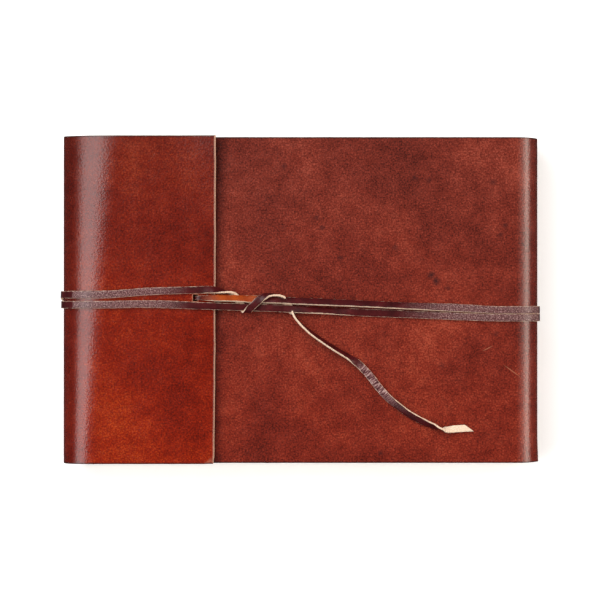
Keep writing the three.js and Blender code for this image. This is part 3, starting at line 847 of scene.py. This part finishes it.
roll_y = grid_lines(-FLAP_TAIL, FLAP_HEAD, WEAVE, also=LACE_BED_LINES)
flap_y = grid_lines(-FLAP_TAIL, FLAP_HEAD, WEAVE, also=SLIT_LINES_Y)
up_page = flap_y / FLAP_HEAD
slack = np.where(up_page > 0, 21 + 6 * up_page, 21 + 5.5 * up_page) * MM
squareness = 2.15 - 0.3 * up_page
rise_turn = np.radians(np.linspace(0, 90, 40))[:, None]
lower_x = NOSE_X + ROLL_REACH * MM * (1 - np.cos(rise_turn) ** (2 / 2.1))
lower_z = ROLL_MIDDLE * (1 - np.sin(rise_turn) ** (2 / 2.1))
x = (lower_x + 0 * roll_y)[::-1]
z = (lower_z + 0 * roll_y)[::-1]
y = roll_y[None, :] + 0 * x
steps = np.linalg.norm(np.diff(np.stack([x[:, 0], z[:, 0]], axis=1), axis=0), axis=1)
roll_s = cover_s[-1] + np.concatenate([[0], np.cumsum(steps)])
roll_uv = np.stack([roll_s[:, None] + 0 * y, y], axis=-1)
turned = (roll_s - roll_s[0]) / (roll_s[-1] - roll_s[0])
warm = 0.5 + (0.45 - 0.3 * y / FLAP_HEAD) * turned[:, None]
# painted shade: the roll is painted darker toward the head, more so the higher it turns up
shaded = 0.8 * np.clip(0.33 + 0.4 * y / FLAP_HEAD, 0, 1) * turned[:, None]
fore_roll = thick_hide("fore_edge_hide", np.stack([x, y, z], axis=-1), (False, False, True, True),
                       (DARK, DARK, DARK, DARK), HIDE_MATERIALS, roll_uv,
                       {"warm": warm, "wear": 0 * y, "shade": shaded,
                        # painted shade on the steep nose of the fore edge
                        "bend": np.clip(1.7 - (x - NOSE_X) / (6 * MM), 0, 1)},
                       pressed=lace_bed(x, y, z))
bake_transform(fore_roll)
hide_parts("fore_edge_roll")

warm_of_y = np.clip(0.95 - 0.3 * up_page, 0, 1)
# painted shade: the flap is painted darker toward the head
shade_of_y = np.clip(0.33 + 0.4 * up_page, 0, 1)
upper_x = NOSE_X + slack * (1 - np.cos(rise_turn) ** (2 / squareness))
upper_z = ROLL_MIDDLE * (1 + np.sin(rise_turn) ** (2 / squareness))
flat_from = -82 * MM
flat_lines = grid_lines(flat_from, FLAP_EDGE, WEAVE, False, True, also=SLIT_LINES_X)[1:]
edge_wander = 0.12 * ripple(flap_y, 0, 21, 7, 0.01, 0.05)
edge_shape = (-0.15 - 0.65 * np.clip(-up_page, 0, 1) ** 2 + edge_wander) * MM
near_edge = rising(flat_lines, FLAP_EDGE - 7 * MM, 7 * MM)[:, None]
flat_x = flat_lines[:, None] + near_edge * edge_shape
flat_z = FLAP_TOP + 0 * flat_x
x = np.vstack([upper_x, flat_x])
z = np.vstack([upper_z, flat_z])
y = flap_y[None, :] + 0 * x
steps = np.linalg.norm(np.diff(np.stack([x, z], axis=-1), axis=0), axis=-1)
flap_s = roll_s[-1] + np.vstack([0 * x[:1], np.cumsum(steps, axis=0)])
lift_at_head = np.clip(up_page, 0, 1) ** 2
droop = rising(x, FLAP_EDGE - 30 * MM, 30 * MM)
slit_clear = np.clip(np.hypot(x + 49.5 * MM, y) / (15 * MM) - 0.5, 0, 1)
sway = ripple(flap_s, y, 31, 9, 0.03, 0.1)
z = z - rising(x, -90 * MM, 10 * MM) * slit_clear * (
    0.12 + 0.1 * sway + 0.75 * droop**2 * (1 - lift_at_head)) * MM
# the corner at the head curls up
HEAD_CURL = 1.5 * MM
curl = rising(x, FLAP_EDGE - 20 * MM, 20 * MM) ** 1.6 * np.clip(y / (70 * MM) - 0.1, 0, 1) ** 0.7
z = z + curl * HEAD_CURL
# a crease across the worn corner at the tail
corner_x, corner_y = FLAP_EDGE - 0.8 * MM, -FLAP_TAIL
beyond = ((x - corner_x) + (corner_y - y) * 1.2) / MM + 3.6
near_tail = y < -60 * MM
past_roll = x > -60 * MM
folded = np.clip(beyond, 0, 4) * near_tail
z = z - folded * 0.16 * MM
crease = np.exp(-((beyond / 0.35) ** 2)) * near_tail * past_roll
off_slit = np.hypot(np.maximum(np.maximum(SLIT_X[0] - x, x - SLIT_X[1]), 0),
                    np.maximum(np.maximum(SLIT_Y[0] - y, y - SLIT_Y[1]), 0))
worn = (0.9 * (off_slit < 0.3 * MM) * past_roll + 0.85 * crease
        + 0.3 * np.clip(beyond, 0, 1) * near_tail * past_roll)
flap_uv = np.stack([flap_s, y], axis=-1)
row_at = int(np.argmin(np.abs(x[:, 0] - SLIT_X[0]))), int(np.argmin(np.abs(x[:, 0] - SLIT_X[1])))
column_at = int(np.argmin(np.abs(flap_y - SLIT_Y[0]))), int(np.argmin(np.abs(flap_y - SLIT_Y[1])))
flap = thick_hide("flap_hide", np.stack([x, y, z], axis=-1), (False, True, True, True),
                  (DARK, PALE, DARK, DARK), HIDE_MATERIALS, flap_uv,
                  {"warm": warm_of_y + 0 * x, "wear": worn, "shade": 0.8 * shade_of_y + 0 * x,
                   # painted shade on the steep nose of the roll
                   "bend": np.clip(1.7 - (x - NOSE_X) / (6 * MM), 0, 1)}, skive=0.6 * MM,
                  hole=row_at + column_at)
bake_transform(flap)
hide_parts("flap")


# ---------------------------------------------------------------------------
# Sections. Each is five sheets of heavy cream paper folded together into ten leaves. The leaves
# have slightly uneven edges and lie a hair apart; the folds make a rounded back.
# ---------------------------------------------------------------------------
SHEETS = 5
PAPER = 0.17 * MM
LEAF_SPREAD = 0.35 * MM
LEAF_ROWS = 16
FOLD_ROWS = 9
LEAF_COLUMNS = 22


def paper_material(name, light, dark, depth):
    """Uncoated paper: faint cloudy fibre in its colour, depth metres deep, and a dull surface."""
    material, tree, shader, node = new_material(name)
    place = node("TexCoord").outputs["Object"]
    fibre = noise(node, place, 900.0, 6.0, 0.7)
    both = worked(node, "MULTIPLY_ADD", noise(node, place, 60.0, 3.0), 0.6, fibre)
    tree.links.new(ramp(node, both, [(0.6, dark), (0.95, light)]), shader.inputs["Base Color"])
    raise_surface(tree, shader, node, fibre, 0.35, depth)
    shader.inputs["Roughness"].default_value = 0.88
    shader.inputs["Specular IOR Level"].default_value = 0.25
    return material


def folded_sheets(name, inner_x, fold_x, low_z, high_z, half, seed, part):
    """Nested folded sheets. Each sheet's section is a lower leaf, a half circle at the fold and an
    upper leaf, moved in by its place in the nest; part 0 keeps all of it, 1 only the lower leaves
    with their half of the fold, 2 only the upper ones. Its border wanders by smooth noise."""
    draw = np.random.default_rng(seed)
    middle = {0: (low_z + high_z) / 2, 1: high_z, 2: low_z}[part]
    reach = {0: (high_z - low_z) / 2, 1: high_z - low_z, 2: high_z - low_z}[part]
    pitch = (reach - 0.04 * MM) / SHEETS
    y = np.linspace(-half, half, LEAF_COLUMNS)
    points, faces = [], []
    total = 0
    for sheet in range(SHEETS):
        radius = reach - (sheet + 0.5) * pitch - 0.02 * MM
        centre_x = fold_x - reach
        out = inner_x + draw.uniform(0, 1) * LEAF_SPREAD
        leaf_x = np.linspace(out, centre_x, LEAF_ROWS)
        angle = np.radians(np.linspace(-90, 90, 2 * FOLD_ROWS - 1)[1:-1])
        line = []
        if part in (0, 1):
            line += [np.stack([leaf_x, np.full(LEAF_ROWS, -radius)], axis=1)]
        turned = {0: angle, 1: angle[angle < -1e-6], 2: angle[angle > 1e-6]}[part]
        line += [np.stack([centre_x + radius * np.cos(turned), radius * np.sin(turned)], axis=1)]
        if part in (0, 2):
            line += [np.stack([leaf_x[::-1], np.full(LEAF_ROWS, radius)], axis=1)]
        line = np.concatenate(line)
        step = np.gradient(line, axis=0)
        step /= np.linalg.norm(step, axis=1)[:, None]
        side = np.stack([step[:, 1], -step[:, 0]], axis=1)
        rows = len(line)
        free = falling(line[:, 0], centre_x, centre_x - out)[:, None]
        wave = ripple(line[:, :1] + 0.3 * sheet, y[None, :], seed * 31 + sheet, 6, 0.03, 0.12)
        slack = 0.25 * pitch * wave * np.clip(free * 5, 0, 1)
        jitter = 0.18 * MM * ripple(y[None, :], line[:, :1] * 0, seed * 17 + sheet, 7, 0.004, 0.03)
        grid = np.zeros((2, rows, LEAF_COLUMNS, 3))
        for face, thick in ((0, PAPER / 2), (1, -PAPER / 2)):
            grid[face, :, :, 0] = line[:, :1] + side[:, :1] * thick - jitter * free**6
            grid[face, :, :, 1] = y[None, :] * (1 - draw.uniform(0, 0.002)) + 0 * line[:, :1]
            grid[face, :, :, 2] = middle + line[:, 1:] + side[:, 1:] * thick + slack
        size = rows * LEAF_COLUMNS
        index = np.arange(size).reshape(rows, LEAF_COLUMNS)
        quads = grid_faces(rows, LEAF_COLUMNS)
        border = np.concatenate([index[0, :-1], index[:-1, -1], index[-1, :0:-1], index[:0:-1, 0]])
        onward = np.roll(border, -1)
        rim = np.stack([onward, border, border + size, onward + size], axis=1)
        faces += [quads[:, ::-1] + total, quads + size + total, rim + total]
        points.append(grid.reshape(-1, 3))
        total += 2 * size
    return mesh_piece(name, np.concatenate(points), np.concatenate(faces), [page_paper])


page_paper = paper_material("page_paper", (0.80, 0.72, 0.56, 1), (0.70, 0.60, 0.43, 1), 0.00006)
section_names = [f"section_{n}" for n in (1, 2, 3, 4)] + ["section_5_lower", "section_5_upper"] + [
    f"section_{n}" for n in (6, 7, 8, 9)]
for order, node_name in enumerate(section_names):
    low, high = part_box(node_name)
    part = {"section_5_lower": 1, "section_5_upper": 2}.get(node_name, 0)
    pages = folded_sheets("leaves_" + node_name[8:], low.x, high.x, low.z, high.z, high.y - 0.1 * MM,
                          order + 1, part)
    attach(pages, "back" if order < 5 else "front")
    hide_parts(node_name)


# ---------------------------------------------------------------------------
# Endpapers and spine linings. The endpapers are plain sheets pasted to the hide; strips of woven
# cotton cloth line the spine. Both keep their own shape and get their own finish.
# ---------------------------------------------------------------------------
def cloth_material():
    """Plain-woven cotton: two crossed sets of fine waves raise and tint the threads."""
    material, tree, shader, node = new_material("lining_cotton")
    place = node("TexCoord").outputs["Object"]
    warp, weft = (node("TexWave", {"bands_direction": way}, Vector=place, Scale=330.0,
                       Distortion=0.6).outputs["Fac"] for way in ("Y", "Z"))
    threads = worked(node, "MULTIPLY", warp, weft)
    tree.links.new(ramp(node, threads, [(0.1, (0.34, 0.26, 0.17, 1)), (0.8, (0.62, 0.52, 0.38, 1))]),
                   shader.inputs["Base Color"])
    raise_surface(tree, shader, node, threads, 0.6, 0.0001)
    shader.inputs["Roughness"].default_value = 0.95
    return material


endpaper = paper_material("endpaper", (0.62, 0.50, 0.34, 1), (0.50, 0.38, 0.24, 1), 0.00008)
lining_cotton = cloth_material()
for node_name, finish in (("endpaper_back", endpaper), ("endpaper_front", endpaper),
                          ("spine_lining_lower", lining_cotton), ("spine_lining_upper", lining_cotton)):
    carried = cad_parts[node_name]
    carried.data.materials.clear()
    carried.data.materials.append(finish)


# ---------------------------------------------------------------------------
# Stitches. Waxed linen thread of two twisted plies holds the middle section at five places.
# ---------------------------------------------------------------------------
PLY_PITCH = 1.3 * MM
PLY_RINGS = 120
PLY_SIDES = 8
thread, thread_tree, thread_shader, thread_node = new_material("linen_thread")
strand_noise = noise(thread_node, thread_node("TexCoord").outputs["Object"], 2500.0, 4.0)
thread_tree.links.new(
    ramp(thread_node, strand_noise, [(0.3, (0.45, 0.36, 0.24, 1)), (0.7, (0.74, 0.65, 0.48, 1))]),
    thread_shader.inputs["Base Color"])
thread_shader.inputs["Roughness"].default_value = 0.6
for number in range(1, 6):
    low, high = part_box(f"stitch_{number}")
    centre = (low + high) / 2
    strand = (high.x - low.x) / 4
    run = np.linspace(low.y + 0.1 * MM, high.y - 0.1 * MM, PLY_RINGS)[:, None]
    ends = np.clip(np.minimum(run - run[0], run[-1] - run) / (0.5 * MM), 0.05, 1) ** 0.5
    round_thread = np.radians(np.arange(0, 360, 360 / PLY_SIDES))[None, :]
    parts, quads = [], []
    for ply in (0, np.pi):
        turn = 2 * np.pi * run / PLY_PITCH + ply
        ring = np.stack([
            centre.x + strand * np.cos(turn) + strand * ends * np.cos(round_thread),
            run + 0 * round_thread,
            centre.z + strand * np.sin(turn) + strand * ends * np.sin(round_thread),
        ], axis=-1)
        first = len(parts) * PLY_RINGS * PLY_SIDES
        quads.append(grid_faces(PLY_RINGS, PLY_SIDES, first, closed=True)[:, ::-1])
        parts.append(ring.reshape(-1, 3))
    stitch = mesh_piece(f"thread_{number}", np.concatenate(parts), np.concatenate(quads), [thread])
    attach(stitch, "back")
    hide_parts(f"stitch_{number}")


# ---------------------------------------------------------------------------
# Floor and light. A seamless near-white floor. Large soft panels left and right graze the two
# rounded edges, each with weaker ones beside it that fade it out; two more fill from head and tail.
# ---------------------------------------------------------------------------
FLOOR_HALF = 4.0
FLOOR_Z = -0.2 * MM
floor_mesh = bpy.data.meshes.new("floor")
floor_mesh.from_pydata([(FLOOR_HALF * x, FLOOR_HALF * y, FLOOR_Z)
                        for x, y in ((-1, -1), (1, -1), (1, 1), (-1, 1))], [], [(0, 1, 2, 3)])
floor = bpy.data.objects.new("floor", floor_mesh)
bpy.context.scene.collection.objects.link(floor)
material, _, shader, _ = new_material("floor_white")
shader.inputs["Base Color"].default_value = (0.9, 0.9, 0.9, 1)
shader.inputs["Roughness"].default_value = 1.0
shader.inputs["Specular IOR Level"].default_value = 0.0
shader.inputs["Emission Color"].default_value = (1, 1, 1, 1)
shader.inputs["Emission Strength"].default_value = 0.35
floor_mesh.materials.append(material)
floor.visible_glossy = False
floor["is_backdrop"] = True

world = bpy.data.worlds.new("studio")
bpy.context.scene.world = world
world.use_nodes = True
world.node_tree.nodes["Background"].inputs["Color"].default_value = (1, 1, 1, 1)
world.node_tree.nodes["Background"].inputs["Strength"].default_value = 0.06

WARM_LIGHT = (1, 0.9, 0.79)


def panel_light(name, place, size, power, glossy=True, tint=(1, 1, 1)):
    """A rectangular soft light that looks at the book."""
    data = bpy.data.lights.new(name, "AREA")
    data.shape = "RECTANGLE"
    data.size, data.size_y = size
    data.energy = power
    data.color = tint
    lamp = bpy.data.objects.new(name, data)
    lamp.location = place
    aim = Vector((0, 0, 0.02)) - Vector(place)
    lamp.rotation_euler = aim.to_track_quat("-Z", "Y").to_euler()
    lamp.visible_glossy = glossy
    bpy.context.scene.collection.objects.link(lamp)


panel_light("left_panel", (-1.02, 0.25, 1.12), (3.2, 0.86), 32)
panel_light("left_fade_1", (-0.598, 0.35, 1.376), (2.2, 0.157), 1.9)
panel_light("left_fade_2", (-0.439, 0.35, 1.434), (2.2, 0.183), 0.5)
panel_light("right_low", (1.39, 0, 0.63), (1.2, 0.53), 13, tint=WARM_LIGHT)
panel_light("right_fade_1", (1.15, 0, 0.96), (1.2, 0.31), 2.9, tint=WARM_LIGHT)
panel_light("right_fade_2", (0.92, 0, 1.18), (1.2, 0.31), 1.2, tint=WARM_LIGHT)
panel_light("right_fade_3", (0.66, 0, 1.35), (1.2, 0.31), 0.4, tint=WARM_LIGHT)
panel_light("head_panel", (0, 1.35, 1.6), (1.6, 0.9), 13, glossy=False)
panel_light("tail_panel", (0, -1.35, 1.6), (1.6, 0.9), 4, glossy=False)

low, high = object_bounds()
